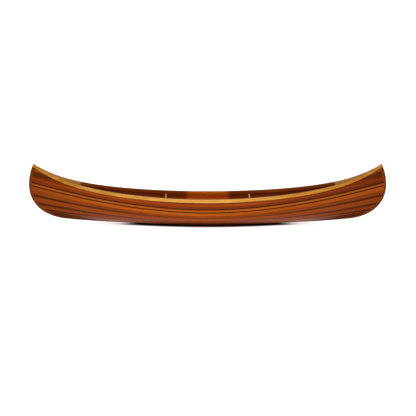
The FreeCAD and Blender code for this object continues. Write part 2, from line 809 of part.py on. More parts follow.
def bolt(x, y, slack=0.0):
    """A bolt whose head is let in flush with the gunwale; with slack it is the tool for its hole."""
    head_z = bolt_top - size("bolt_head_height")
    end_z = nut_z - size("bolt_end")
    shank = Part.makeCylinder(size("bolt_diameter") / 2, head_z - end_z, Vector(x, y, end_z))
    head_height = size("bolt_head_height") + slack
    head = Part.makeCylinder(size("bolt_head_diameter") / 2, head_height, Vector(x, y, head_z))
    return shank.fuse(head).removeSplitter()


def bore(x, y, z):
    """The tool for a bolt's hole through something thin that starts at a height."""
    return Part.makeCylinder(size("bolt_diameter") / 2, 2 * CLEAR, Vector(x, y, z - CLEAR))


def washer(x, y):
    disc = Part.makeCylinder(size("washer_diameter") / 2, size("washer_thickness"), Vector(x, y, washer_z))
    return disc.cut(bore(x, y, washer_z))


def nut(x, y):
    corner = size("nut_width") / math.sqrt(3)
    ring = [Vector(x + corner * math.cos(k * math.pi / 3), y + corner * math.sin(k * math.pi / 3), nut_z)
            for k in range(7)]
    block = Part.Face(Part.makePolygon(ring)).extrude(Vector(0, 0, size("nut_height")))
    return block.cut(bore(x, y, nut_z))


group("thwart_bolts", [bolt(x, y) for x, y in BOLT_PLACES])
group("thwart_washers", [washer(x, y) for x, y in BOLT_PLACES])
group("thwart_nuts", [nut(x, y) for x, y in BOLT_PLACES])
for side, inwale in inwales.items():
    turn = 1 if side == "port" else -1
    for x, y in BOLT_PLACES:
        if y * turn > 0:
            inwale = inwale.cut(bolt(x, y, CLEAR))
    add(f"inwale_{side}", inwale)


# ---------------------------------------------------------------- seat

AFT = "sizes.seat_station - sizes.seat_length / 2"
FORE = "sizes.seat_station + sizes.seat_length / 2"
INNER = "sizes.seat_width / 2 - sizes.seat_rail_width"
SEAT_TOP = "sizes.seat_height + sizes.seat_rail_thickness"
SCREW_Y = "sizes.seat_half - sizes.riser_thickness / 2"
OPENING = "sizes.seat_length - 2 * sizes.seat_rail_width"
HOLE_EDGE = "(sizes.cane_rebate - sizes.reed_width)"


def box(name, lengths, corner):
    """A box whose sides and corner are expressions of the sheet."""
    made = doc.addObject("Part::Box", name)
    for side, expression in zip(("Length", "Width", "Height"), lengths):
        made.setExpression(side, expression)
    for axis, expression in zip("xyz", corner):
        made.setExpression(f"Placement.Base.{axis}", expression)
    return made


def screw_hole(name, x, y):
    """A countersunk hole, as a cone and a cylinder, for a seat screw."""
    shank = doc.addObject("Part::Cylinder", f"{name}_shank")
    shank.setExpression("Radius", "sizes.screw_diameter / 2")
    shank.setExpression("Height", "sizes.seat_rail_thickness + sizes.riser_height - sizes.screw_cover")
    head = doc.addObject("Part::Cone", f"{name}_head")
    head.setExpression("Radius1", "sizes.screw_diameter / 2")
    head.setExpression("Radius2", "sizes.screw_head_diameter / 2")
    head.setExpression("Height", "sizes.screw_diameter / 2")
    for item, z in ((shank, "sizes.seat_height - sizes.riser_height + sizes.screw_cover"),
                    (head, f"{SEAT_TOP} - sizes.screw_diameter / 2")):
        item.setExpression("Placement.Base.x", x)
        item.setExpression("Placement.Base.y", y)
        item.setExpression("Placement.Base.z", z)
    screw = doc.addObject("Part::MultiFuse", name)
    screw.Shapes = [shank, head]
    screw.Refine = True
    return screw


screws = {}
for end, x in (("front", f"{FORE} - sizes.seat_rail_width / 2"),
               ("rear", f"{AFT} + sizes.seat_rail_width / 2")):
    for side, y in (("port", f"({SCREW_Y})"), ("starboard", f"-({SCREW_Y})")):
        screws[end, side] = screw_hole(f"{end}_{side}_screw", x, y)

def inset_box(name, edge, height, z):
    """A box over the seat's opening that runs past the opening's sides by an edge."""
    return box(name, (f"{OPENING} + 2 * {edge}", f"2 * ({INNER} + {edge})", height),
               (f"{AFT} + sizes.seat_rail_width - {edge}", f"-({INNER} + {edge})", z))


cane_z = f"{SEAT_TOP} - sizes.cane_thickness - sizes.spline_height"
ledge = inset_box("seat_ledge", "sizes.cane_rebate",
                  f"sizes.cane_thickness + sizes.spline_height + {CLEAR}", cane_z)


def rebated(name, blank, tools):
    """A frame piece cut by the cane's ledge and its screw holes."""
    cut = blank
    for k, tool in enumerate(tools):
        step = doc.addObject("Part::Cut", name if k == len(tools) - 1 else f"{name}_cut_{k}")
        step.Base, step.Tool = cut, tool
        cut = step
    cut.Label = name
    nodes[name] = cut


for end, x in (("front", f"{FORE} - sizes.seat_rail_width"), ("rear", AFT)):
    blank = box(f"seat_{end}_blank",
                ("sizes.seat_rail_width", "2 * sizes.seat_half", "sizes.seat_rail_thickness"),
                (x, "-sizes.seat_half", "sizes.seat_height"))
    rebated(f"seat_{end}_rail", blank, [ledge, screws[end, "port"], screws[end, "starboard"]])
for side, y in (("port", INNER), ("starboard", "-sizes.seat_width / 2")):
    blank = box(f"seat_{side}_blank",
                (OPENING, "sizes.seat_rail_width", "sizes.seat_rail_thickness"),
                (f"{AFT} + sizes.seat_rail_width", y, "sizes.seat_height"))
    rebated(f"seat_side_rail_{side}", blank, [ledge])

cane = inset_box("seat_cane", "sizes.cane_rebate", "sizes.cane_thickness", cane_z)
cane.Label = "seat_cane"
nodes["seat_cane"] = cane
reed_blank = inset_box("seat_reed_blank", "sizes.cane_rebate", "sizes.spline_height",
                       f"{SEAT_TOP} - sizes.spline_height")
reed_hole = inset_box("seat_reed_hole", HOLE_EDGE, f"{2 * CLEAR}", f"{SEAT_TOP} - {CLEAR}")
rebated("seat_reed", reed_blank, [reed_hole])
doc.recompute()
group("seat_screws", [screws[key].Shape for key in sorted(screws)])


def riser(side):
    """The cleat glued to the planking that carries one end of the seat."""
    turn = 1 if side == "port" else -1
    top, foot = size("seat_height"), size("seat_height") - size("riser_height")
    first, last = seat_ends[0] - size("riser_overhang"), seat_ends[1] + size("riser_overhang")
    places = [first + (last - first) * k / 8 for k in range(9)]
    corners = [[], [], [], []]
    for x in places:
        high, low = inside_y(x, top), inside_y(x, foot)
        inner = size("seat_half") - size("riser_thickness")
        corners[0].append(Vector(x, turn * high, top))
        corners[1].append(Vector(x, turn * inner, top))
        corners[2].append(Vector(x, turn * inner, foot))
        corners[3].append(Vector(x, turn * low, foot))
    solid = bar(corners, places)
    for (end, at), screw in screws.items():
        if at == side:
            solid = solid.cut(screw.Shape)
    return solid


for side in SIDES:
    add(f"seat_riser_{side}", riser(side))


def finish():
    """Checks every object and writes each sub-part to its own file."""
    doc.recompute()
    for item in doc.Objects:
        if "Invalid" in item.State or "Error" in item.State:
            raise RuntimeError(f"{item.Name} failed: {item.State}")
    os.makedirs("parts", exist_ok=True)
    for name, item in nodes.items():
        shape = item.Shape
        if shape.isNull() or not shape.isValid():
            raise RuntimeError(f"{name} has no valid shape")
        shape.exportStep(f"parts/{name}.step")
        print(f"{name:32s} {len(shape.Solids)} solid(s) {shape.Volume / 1000:10.1f} cm3")


finish()
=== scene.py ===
# %% [markdown]
# # A strip-planked solo canoe
#
# The hull arrives as an exact frame of separate parts: planks, stems, gunwales, decks, thwarts and seat.
# Blender's job here is the finish. Each wooden part gets a varnished grain of its own, parts that hands
# touch get eased edges, and the seat gets a real woven cane sheet. Sizes are in metres, +X points to the
# bow, +Y to port, and the keel rests on the floor.

# %% Load the exact frame
import math

import bmesh
import bpy
from mathutils import Matrix, Vector
from mathutils.bvhtree import BVHTree


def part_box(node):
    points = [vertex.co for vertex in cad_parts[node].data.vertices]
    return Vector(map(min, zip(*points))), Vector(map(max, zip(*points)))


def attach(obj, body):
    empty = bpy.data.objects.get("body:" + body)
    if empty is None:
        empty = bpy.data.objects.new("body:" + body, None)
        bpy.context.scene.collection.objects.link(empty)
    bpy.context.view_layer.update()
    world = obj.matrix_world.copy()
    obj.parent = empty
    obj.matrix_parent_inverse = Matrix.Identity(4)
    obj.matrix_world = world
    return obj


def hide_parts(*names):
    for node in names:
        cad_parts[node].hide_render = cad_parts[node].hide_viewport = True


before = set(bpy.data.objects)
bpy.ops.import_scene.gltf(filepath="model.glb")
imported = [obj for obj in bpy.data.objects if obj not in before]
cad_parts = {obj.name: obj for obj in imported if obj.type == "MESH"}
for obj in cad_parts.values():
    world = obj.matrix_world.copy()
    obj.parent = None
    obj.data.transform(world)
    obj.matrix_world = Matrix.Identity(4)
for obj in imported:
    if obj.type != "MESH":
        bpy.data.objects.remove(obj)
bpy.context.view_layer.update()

# %% [markdown]
# ## Camera
#
# A long boat seen with a short lens bulges in the middle. A long lens from far away keeps the two ends the
# same size, as a catalogue view does. It looks square at the boat's side from a little above the gunwales,
# so the far gunwale and the decks just show.

# %% Place the camera
VIEW_WIDTH = 3.5525
VIEW_DISTANCE = 39.5
VIEW_ELEVATION = math.radians(6.7)
VIEW_TARGET = Vector((0.0035, 0.0, 0.137))
VIEW_END = 500.0
SENSOR = 36.0

camera = bpy.data.objects.new("camera", bpy.data.cameras.new("camera"))
bpy.context.scene.collection.objects.link(camera)
camera.data.sensor_width = SENSOR
camera.data.lens = SENSOR * VIEW_DISTANCE / VIEW_WIDTH
camera.data.clip_end = VIEW_END
away = Vector((0.0, -math.cos(VIEW_ELEVATION), math.sin(VIEW_ELEVATION)))
camera.location = VIEW_TARGET + away * VIEW_DISTANCE
camera.rotation_euler = away.to_track_quat("Z", "Y").to_euler()
bpy.context.scene.camera = camera
print("lens", round(camera.data.lens), "mm")

# %% [markdown]
# ## Materials as expressions
#
# A finish is easier to read as arithmetic than as a web of nodes. Two small classes do that. A wire is one
# value of a material and understands + - * / and a few more. A finish is one material, which can add any
# node by its type.

# %% Wires


class Wire:
    """One value in a material. Arithmetic written on it adds the nodes that work it out."""

    def __init__(self, finish, socket):
        self.finish, self.socket = finish, socket

    def maths(self, operation, first, second=0.0):
        return self.finish.node("ShaderNodeMath", {"operation": operation}, {0: first, 1: second})

    def __add__(self, other):
        return self.maths("ADD", self, other)

    def __sub__(self, other):
        return self.maths("SUBTRACT", self, other)

    def __rsub__(self, other):
        return self.maths("SUBTRACT", other, self)

    def __mul__(self, other):
        return self.maths("MULTIPLY", self, other)

    def __truediv__(self, other):
        return self.maths("DIVIDE", self, other)

    def __abs__(self):
        return self.maths("ABSOLUTE", self)

    def __lt__(self, other):
        return self.maths("LESS_THAN", self, other)

    __radd__, __rmul__ = __add__, __mul__

    def floor(self):
        return self.maths("FLOOR", self)

    def smaller(self, other):
        return self.maths("MINIMUM", self, other)

    def clamped(self):
        """Held between 0 and 1."""
        return self.maths("MAXIMUM", self, 0.0).smaller(1.0)


print("wires ready")

# %% Finishes


class Finish:
    """One material: a principled shader, its constants, and the nodes that vary it."""

    def __init__(self, name, constants):
        self.material = bpy.data.materials.new(name)
        self.material.use_nodes = True
        self.tree = self.material.node_tree
        self.shader = self.tree.nodes["Principled BSDF"]
        for socket, value in constants.items():
            self.shader.inputs[socket].default_value = value

    def node(self, kind, settings, sockets, out=0):
        """Any node: its settings are set first, then its sockets are linked or given a value."""
        made = self.tree.nodes.new(kind)
        for key, value in settings.items():
            if key == "stops":
                while len(made.color_ramp.elements) < len(value):
                    made.color_ramp.elements.new(1.0)
                for element, (place, colour) in zip(made.color_ramp.elements, value):
                    element.position, element.color = place, colour
            else:
                setattr(made, key, value)
        for key, value in sockets.items():
            self.join(value, made.inputs[key])
        return Wire(self, made.outputs[out])

    def join(self, value, socket):
        """Links a wire to a socket, or gives the socket a plain value."""
        if isinstance(value, Wire):
            self.tree.links.new(value.socket, socket)
        else:
            socket.default_value = value

    def set(self, **values):
        """Joins values to the shader's sockets, whose names are written with _ for a space."""
        for key, value in values.items():
            self.join(value, self.shader.inputs[key.replace("_", " ")])
        return self.material

    def place(self, scale=(1.0, 1.0, 1.0)):
        """Object coordinates, stretched."""
        where = self.node("ShaderNodeTexCoord", {}, {}, "Object")
        return self.node("ShaderNodeMapping", {}, {"Vector": where, "Scale": scale})

    def map(self, name):
        """One of the piece's own maps."""
        return self.node("ShaderNodeUVMap", {"uv_map": name}, {})

    def part(self, vector, axis):
        """One of a vector's three numbers: 0 for x, 1 for y, 2 for z."""
        return self.node("ShaderNodeSeparateXYZ", {}, {0: vector}, axis)

    def vector(self, x=0.0, y=0.0, z=0.0):
        return self.node("ShaderNodeCombineXYZ", {}, {0: x, 1: y, 2: z})

    def noise(self, where, scale=1.0, detail=2.0, roughness=0.5):
        return self.node("ShaderNodeTexNoise", {}, {"Vector": where, "Scale": scale, "Detail": detail,
                                                    "Roughness": roughness})

    def lot(self, number):
        """A value drawn for a whole number: always the same for one number, unlike that of the next."""
        return self.node("ShaderNodeTexWhiteNoise", {"noise_dimensions": "1D"}, {"W": number + 0.5})

    def ramp(self, factor, *stops):
        return self.node("ShaderNodeValToRGB", {"stops": stops}, {"Fac": factor})

    def mix(self, factor, first, second):
        """One colour over another."""
        return self.node("ShaderNodeMix", {"data_type": "RGBA", "clamp_factor": True},
                         {0: factor, 6: first, 7: second}, 2)

    def bump(self, height, distance):
        return self.node("ShaderNodeBump", {}, {"Height": height, "Distance": distance})


print("finishes ready")

# %% Colours


def rgb(red, green, blue):
    """A screen colour, 0 to 255, as the linear colour that shaders use."""
    def linear(value):
        value = value / 255
        return value / 12.92 if value <= 0.04045 else ((value + 0.055) / 1.055) ** 2.4
    return (linear(red), linear(green), linear(blue), 1.0)


print("mid grey is", round(rgb(128, 128, 128)[0], 3), "in a shader")

# %% [markdown]
# ## Varnish
#
# Every wooden part is under the same film of epoxy and varnish. One shader can hold both: its coat layer is
# the smooth top of the film, and its base layer is the wood. The little light that the base reflects has
# passed through amber resin and comes back warm, so that reflection is tinted.

# %% The varnish constants
VARNISH = {"Roughness": 0.3, "Specular IOR Level": 0.14, "Specular Tint": (1.0, 0.42, 0.12, 1.0),
           "Coat Weight": 0.04, "Coat Roughness": 0.04, "Coat IOR": 1.5}
FIBRE_HEIGHT = 0.00015
print("varnish ready")

# %% [markdown]
# ## Solid wood
#
# Sawn wood shows broad growth streaks with fine fibres over them, both much longer than wide. Noise that is
# stretched along the grain gives both without a picture to wrap. The fibres also lift the surface a little.
# Rails can be given painted shade, a darker tone towards the hull's ends, so that they look lit amidships.

# %% A wood finish
GRAIN_STRETCH = {"X": (0.035, 1.0, 1.0), "Y": (1.0, 0.035, 1.0)}
STREAKS, FIBRES = 26.0, 190.0
STREAK_SHARE, FIBRE_SHARE = 0.65, 0.35
GRAIN_CONTRAST = 1.6


def wood(name, dark, light, along="X", contrast=1.0, painted_end_shade=0.0, film=VARNISH):
    """Solid wood with its grain along one axis. It can get darker per metre from midships, as painted shade.
    """
    finish = Finish(name, film)
    where = finish.place(GRAIN_STRETCH[along])
    broad = finish.noise(where, STREAKS, 3.0, 0.55)
    fine = finish.noise(where, FIBRES, 2.0, 0.6)
    grain = (broad * STREAK_SHARE + fine * FIBRE_SHARE - 0.5) * (GRAIN_CONTRAST * contrast) + 0.5
    # Painted shade: darker with the distance from midships, so the ends look less lit.
    if painted_end_shade:
        grain = grain - abs(finish.part(finish.place(), 0)) * painted_end_shade
    return finish.set(Base_Color=finish.ramp(grain, (0.15, dark), (0.85, light)),
                      Normal=finish.bump(fine, FIBRE_HEIGHT))


print("wood ready")

# %% [markdown]
# ## Copies with eased edges
#
# A carried-over part is loose triangles with knife edges. A copy has its doubled corners merged, then its
# sharp edges are eased with a bevel, as a maker's plane and sandpaper would, and it is shaded smooth
# between what stays sharp. A Bevel modifier with an angle limit would do too, but the triangles have to be
# merged in a bmesh in any case, so the bevel is made there as well. The exact part stays hidden under its
# copy.

# %% Turn a bmesh into a piece


def new_piece(name, shape, material, node):
    """A finished piece that rides with the hull and stands in for one part of the frame."""
    mesh = bpy.data.meshes.new(name)
    shape.to_mesh(mesh)
    shape.free()
    if "custom_normal" in mesh.attributes:
        mesh.attributes.remove(mesh.attributes["custom_normal"])
    mesh.materials.clear()
    mesh.materials.append(material)
    for polygon in mesh.polygons:
        polygon.material_index = 0
    piece = bpy.data.objects.new(name, mesh)
    bpy.context.scene.collection.objects.link(piece)
    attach(piece, "root")
    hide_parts(node)
    return piece


print("pieces can be made")

# %% Copy, merge, ease
MERGE = 2e-5
SMOOTH_BELOW = math.radians(32)     # shaded smooth if the faces of an edge turn less than this
EASE_ABOVE = math.radians(50)       # beveled if they turn more than this
FLAT_BELOW = math.radians(8)        # two triangles are joined if they turn less than this
SQUARE_BELOW = math.radians(80)     # and if their corners are this near to square


def merged(node):
    """A bmesh of a carried-over part with its loose triangles joined."""
    shape = bmesh.new()
    shape.from_mesh(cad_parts[node].data)
    bmesh.ops.remove_doubles(shape, verts=shape.verts, dist=MERGE)
    bmesh.ops.dissolve_degenerate(shape, edges=shape.edges, dist=MERGE / 4)
    return shape


def shade(shape):
    """Smooth shading, broken at sharp edges."""
    for face in shape.faces:
        face.smooth = True
    for edge in shape.edges:
        edge.smooth = edge.calc_face_angle(math.pi) < SMOOTH_BELOW


def eased(node, radius, material, segments=2):
    """A copy of a part with its sharp edges rounded."""
    shape = merged(node)
    bmesh.ops.join_triangles(shape, faces=shape.faces, angle_face_threshold=FLAT_BELOW,
                             angle_shape_threshold=SQUARE_BELOW)
    sharp = [edge for edge in shape.edges if edge.calc_face_angle(0.0) > EASE_ABOVE]
    if radius:
        bmesh.ops.bevel(shape, geom=sharp, offset=radius, offset_type="OFFSET", affect="EDGES",
                        segments=segments, profile=0.5, material=-1, clamp_overlap=True)
    shade(shape)
    return new_piece(f"{node}_wood", shape, material, node)


print("copies ready")

# %% [markdown]
# ## Planks
#
# Each wide plank of the frame stands for two or three cedar strips glued edge to edge, and the top one for
# four. Strips come from different boards, so each has a tone of its own, and a fine dark glue line runs
# between them. A pattern on straight axes would cut across the curved planks, so each plank gets two maps
# of its own: "strips" says how far along the hull and in which strip a point lies, and "edges" says how far
# it is from the planks below and above. Where two planks meet, a thin dark seam runs between them, and
# beside it a band of painted shade that grows towards the ends of the hull. The plank's colour gets
# painted shade too, darker towards the ends.

# %% Sizes of the planking
PLANKS = [("garboard", 3), ("inner_bottom_strake", 3), ("outer_bottom_strake", 3), ("lower_bilge_strake", 2),
          ("upper_bilge_strake", 2), ("topside_strake", 2), ("lower_pinstripe", 1), ("feature_strip", 1),
          ("upper_pinstripe", 1), ("sheer_strake", 4)]
SIDES = ("port", "starboard")
ENDS = ("bow", "stern")
SHEER_STRIP = 0.0215        # width of a strip in the top plank
GLUE_LINE = 0.035           # half a glue line, as a share of a strip
SEAM = 0.0013               # half the dark seam between planks
BAND, BAND_CORE = 0.015, 0.003    # how far the band of painted shade reaches from a seam, and its full part
BAND_START, BAND_GAIN = 0.2, 0.6  # the band's strength amidships, and its gain per metre
print(sum(count for _, count in PLANKS), "strips a side")

# %% The strips' finish
TONE, DRIFT, GRAIN, FIBRE = 0.45, 0.75, 0.55, 0.25
MEAN_DEPTH = 0.52
PLANK_END_SHADE = 0.12            # painted shade: how much darker the planks get per metre from midships
LINE_STRENGTH, BAND_STRENGTH, SEAM_STRENGTH = 0.38, 0.95, 0.8
GLUE = rgb(36, 14, 4)
# The colour of the painted shade beside the seams.
PAINTED_SEAM_SHADE = rgb(52, 16, 3)


def plank_finish(name, dark, middle, light):
    """Cedar strips with their own tones, glued edge to edge, with painted shade by seams and ends."""
    finish = Finish(name, VARNISH)
    strips, edges = finish.map("strips"), finish.map("edges")
    along, across = finish.part(strips, 0), finish.part(strips, 1)
    number = across.floor()
    share = across - number
    drift = finish.noise(finish.vector(along * 1.1, number * 7.3, share * 0.35))
    grain = finish.noise(finish.vector(along * 1.6, across * 2.6 + number * 3.0), 4.0, 4.0, 0.6)
    fibre = finish.noise(finish.vector(along * 9.0, across * 24.0), 3.0, 2.0, 0.6)
    depth = finish.lot(number) * TONE + drift * DRIFT + grain * GRAIN + fibre * FIBRE - MEAN_DEPTH
    # Painted shade: the tone darkens with the distance from midships.
    colour = finish.ramp(depth - abs(along) * PLANK_END_SHADE, (0.05, dark), (0.5, middle), (0.95, light))

    line = share.smaller(1.0 - share) < GLUE_LINE
    nearest = finish.part(edges, 0).smaller(finish.part(edges, 1))
    # Painted shade: a dark band beside each seam between planks, stronger towards the ends.
    band = finish.node("ShaderNodeMapRange", {"interpolation_type": "SMOOTHSTEP"},
                       {"Value": nearest, "From Min": BAND_CORE, "From Max": BAND, "To Min": 1.0,
                        "To Max": 0.0})
    towards_ends = (abs(along) * BAND_GAIN + BAND_START + (drift - 0.5) * 0.7).clamped()
    glued = finish.mix(line * LINE_STRENGTH, colour, GLUE)
    banded = finish.mix(band * towards_ends * BAND_STRENGTH, glued, PAINTED_SEAM_SHADE)
    seamed = finish.mix((nearest < SEAM) * SEAM_STRENGTH, banded, GLUE)
    return finish.set(Base_Color=seamed, Normal=finish.bump(fibre, FIBRE_HEIGHT))


cedar = plank_finish("red_cedar", rgb(102, 37, 3), rgb(145, 64, 6), rgb(178, 92, 12))
cedar_top = plank_finish("red_cedar_top", rgb(92, 28, 2), rgb(130, 50, 5), rgb(158, 72, 12))
feature_cedar = plank_finish("light_cedar", rgb(138, 62, 8), rgb(168, 84, 14), rgb(192, 110, 26))
print("three cedars ready")

# %% [markdown]
# ### Laying the maps
#
# The neighbours' surfaces are put into search trees. At every corner of a plank's copy, the distances to
# the plank below and the plank above share out its width. Unwrapping would lay each plank flat in its own
# way, while these distances run on from plank to plank. Where boards butt inside a plank, the faces between
# them can't be seen and are taken out, so that the strips run on without a break.

# %% Search trees and butts
BUTTED_ROWS = 6             # the wide planks, made of several boards
BUTT_FACING = 0.75          # a butt's face looks this much along the hull
BUTT_REACH = 1.2            # and lies within this distance from midships
BACKBONE = ["keel_strip", "bow_outer_stem", "stern_outer_stem"]


def tree_of(nodes):
    """A search tree over several parts."""
    joined = bmesh.new()
    for node in nodes:
        joined.from_mesh(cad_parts[node].data)
    tree = BVHTree.FromBMesh(joined)
    joined.free()
    return tree


def without_butts(shape):
    """Takes out the faces where two boards of one plank meet."""
    inside = [face for face in shape.faces
              if abs(face.normal.x) > BUTT_FACING and abs(face.calc_center_median().x) < BUTT_REACH]
    bmesh.ops.delete(shape, geom=inside, context="FACES_ONLY")
    bmesh.ops.remove_doubles(shape, verts=shape.verts, dist=MERGE * 4)
    return shape


print("butts can be taken out")

# %% Map a plank
STRIPE_EDGE = 5.0           # beside a pinstripe a distance counts for more: a narrow band of painted shade
KEEL_EDGE = 0.4             # beside the keel it counts for less: a wide band of painted shade under the hull
STRIPE_BELOW = ("sheer_strake", "feature_strip")
STRIPE_ABOVE = ("topside_strake", "feature_strip")
STARBOARD = 100             # added to strip numbers, so the two sides get different boards
FAR = 1.0                   # what counts as the distance to a plank that isn't there
TOUCHING = 1e-6
SLIVER = 1e-4


def mapped_plank(row, side, first_strip):
    """One plank's copy with its two maps."""
    name, count = PLANKS[row]
    shape = merged(f"{name}_{side}")
    if row < BUTTED_ROWS:
        shape = without_butts(shape)
    lower = tree_of([f"{PLANKS[row - 1][0]}_{side}"] if row else BACKBONE)
    upper = tree_of([f"{PLANKS[row + 1][0]}_{side}"]) if row + 1 < len(PLANKS) else None
    weigh_down = STRIPE_EDGE if name in STRIPE_BELOW else KEEL_EDGE if row == 0 else 1.0
    weigh_up = STRIPE_EDGE if name in STRIPE_ABOVE else 1.0
    start = first_strip + (STARBOARD if side == "starboard" else 0)
    strips, edges = shape.loops.layers.uv.new("strips"), shape.loops.layers.uv.new("edges")
    for vert in shape.verts:
        down = lower.find_nearest(vert.co)[3]
        up, share = FAR, down / SHEER_STRIP
        if upper:
            up = upper.find_nearest(vert.co)[3]
            share = min(max(down / max(down + up, TOUCHING) * count, SLIVER), count - SLIVER)
        for loop in vert.link_loops:
            loop[strips].uv = (vert.co.x, start + share)
            loop[edges].uv = (down * weigh_down, up * weigh_up)
    shade(shape)
    return shape


print("planks can be mapped")

# %% Make the planks
PLANK_LOOKS = {"feature_strip": (feature_cedar, "feature_cedar"), "topside_strake": (cedar, "topside_cedar"),
               "sheer_strake": (cedar_top, "topside_cedar")}
strip_number = 0
for row, (name, count) in enumerate(PLANKS):
    if "pinstripe" not in name:
        material, slot = PLANK_LOOKS.get(name, (cedar, "bottom_cedar"))
        for side in SIDES:
            new_piece(f"{name}_{side}_planks", mapped_plank(row, side, strip_number), material,
                      f"{name}_{side}")
    strip_number += count
print("planked up to strip", strip_number)

# %% [markdown]
# ## Pinstripes
#
# Two thin walnut strips frame a light one. Walnut is so dark that the shine of a full film would turn it
# grey, so its film is nearly dull. The strips are narrow, so solid wood with its grain along the hull is
# enough.

# %% Pinstripes
DULL_FILM = {**VARNISH, "Specular IOR Level": 0.05, "Coat Weight": 0.05}
walnut = wood("walnut", rgb(10, 4, 2), rgb(34, 12, 5), contrast=1.2, film=DULL_FILM)
for side in SIDES:
    for name in ("lower_pinstripe", "upper_pinstripe"):
        eased(f"{name}_{side}", 0, walnut)
print("pinstripes done")

# %% [markdown]
# ## Fillers
#
# Short fillers are let in under the gunwale at each end, where the sheer sweeps up faster than a full strip
# can bend. A dark one lies below and a red one above it. They are small, so they too are plain solid wood.

# %% Fillers
filler_dark = wood("dark_cedar", rgb(58, 20, 2), rgb(100, 42, 6))
filler_red = wood("red_filler", rgb(104, 36, 8), rgb(150, 66, 16))
for side in SIDES:
    for end in ENDS:
        eased(f"{end}_dark_filler_{side}", 0, filler_dark)
        eased(f"{end}_upper_filler_{side}", 0, filler_red)
print("fillers done")

# %% [markdown]
# ## Backbone
#
# The outer stem is a stack of thin cherry layers bent to the bow's curve and planed to a soft nose. The
# layers follow the bend, which a pattern on straight axes can't, so they are drawn by the distance in front
# of the planks: the copy carries that distance as a map of its own. The inner stems and the keel strip show
# much less and are plain solid wood. The keel strip is nearly black, painted shade for the hull's
# underside.

# %% The stems' finish
LAYER = 0.0055
LAYER_GLUE = 0.08           # a glue line, as a share of a layer


def stem_finish():
    """Thin cherry layers, each with its own tone, with a fine glue line between them."""
    finish = Finish("stem_cherry", VARNISH)
    layer = finish.part(finish.map("layers"), 0) / LAYER
    number = layer.floor()
    fibre = finish.noise(finish.place(), 160.0)
    tone = finish.lot(number) * 0.6 + fibre * 0.4
    colour = finish.ramp(tone, (0.1, rgb(70, 25, 4)), (0.9, rgb(118, 50, 10)))
    line = (layer - number) < LAYER_GLUE
    return finish.set(Base_Color=finish.mix(line * 0.6, colour, GLUE),
                      Normal=finish.bump(fibre, FIBRE_HEIGHT))


stem_wood = stem_finish()
print("stems' finish ready")

# %% Stems and keel strip
STEM_NOSE = 0.0045
ash_inside = wood("ash_inside", rgb(176, 122, 62), rgb(214, 164, 98))
# Painted shade: the keel strip is nearly black, for the shaded underside of the hull.
keel_shade_wood = wood("keel_cherry_shade", rgb(30, 11, 3), rgb(58, 22, 6))
planking = tree_of([f"{name}_{side}" for name, _ in PLANKS for side in SIDES])
for end in ENDS:
    stem = eased(f"{end}_outer_stem", STEM_NOSE, stem_wood, segments=3)
    layers = stem.data.uv_layers.new(name="layers")
    for loop in stem.data.loops:
        reach = planking.find_nearest(stem.data.vertices[loop.vertex_index].co)[3]
        layers.data[loop.index].uv = (reach, 0.0)
    eased(f"{end}_inner_stem", 0, ash_inside)
eased("keel_strip", 0, keel_shade_wood)
print("backbone done")

# %% [markdown]
# ## Gunwales
#
# Light ash rails run outside the top strake and dark cherry rails inside it. Hands carry the boat by them,
# so their edges are well rounded. The grain of a rail runs all along it, and the rail's own bend is slight
# enough for grain on a straight axis. The ash gets painted shade, a tone that darkens towards the ends, so
# it looks lit amidships.

# %% Rails
# Painted shade on the ash rails, per metre from midships.
OUTWALE_END_SHADE = 0.24
ash_rail = wood("ash_rail", rgb(162, 104, 26), rgb(222, 170, 84), contrast=0.8, painted_end_shade=OUTWALE_END_SHADE)
cherry_rail = wood("cherry_rail", rgb(96, 36, 5), rgb(146, 66, 12))
for side in SIDES:
    eased(f"outwale_{side}", 0.0035, ash_rail, segments=3)
    eased(f"inwale_{side}", 0.0025, cherry_rail)
print("rails done")

# %% [markdown]
# ## Decks
#
# Each deck is two ash boards matched like the pages of a book and let in below the rails, with a curved
# coaming at its open end and a light trim along each side. Bands that follow the distance from the joint,
# bent by some noise, draw the arched figure once and mirror it at the same time.

# %% The decks' finish
RINGS = 46.0                # how close the rings of growth lie
HALF_JOINT = 0.0006


def deck_finish():
    """Two matched boards: the figure is mirrored about the joint, with cathedral curves."""
    finish = Finish("deck_ash", VARNISH)
    where = finish.place()
    x, y = finish.part(where, 0), abs(finish.part(where, 1))
    warp = finish.noise(finish.vector(abs(x) * 5.0, y * 14.0))
    figure = finish.vector(y=y + warp * 0.05 + abs(x) * 0.06)
    rings = finish.node("ShaderNodeTexWave", {"wave_type": "BANDS", "bands_direction": "Y"},
                        {"Vector": figure, "Scale": RINGS, "Distortion": 1.2, "Detail": 2.0})
    fibre = finish.noise(finish.vector(x * 9.0, y * 240.0), 3.0)
    tone = rings * 0.55 + fibre * 0.45
    colour = finish.ramp(tone, (0.1, rgb(140, 104, 72)), (0.9, rgb(178, 142, 104)))
    jointed = finish.mix((y < HALF_JOINT) * 0.7, colour, rgb(70, 34, 14))
    return finish.set(Base_Color=jointed, Normal=finish.bump(fibre, FIBRE_HEIGHT))


deck_wood = deck_finish()
deck_trim_wood = wood("deck_trim_ash", rgb(168, 104, 34), rgb(212, 146, 62))
print("decks' finish ready")

# %% Decks
for end in ENDS:
    eased(f"{end}_deck", 0, deck_wood)
    eased(f"{end}_coaming", 0.002, deck_trim_wood, segments=3)
    eased(f"{end}_deck_trim", 0.0015, deck_trim_wood)
print("decks done")

# %% [markdown]
# ## Thwarts
#
# A thwart is one ash board across the boat, bolted up under both inwales. It is carried and leant on, so
# its edges are well rounded, and its grain runs across the hull.

# %% Thwarts
thwart_wood = wood("ash_thwart", rgb(184, 122, 44), rgb(224, 160, 70), along="Y")
for end in ENDS:
    eased(f"{end}_thwart", 0.004, thwart_wood, segments=3)
print("thwarts done")

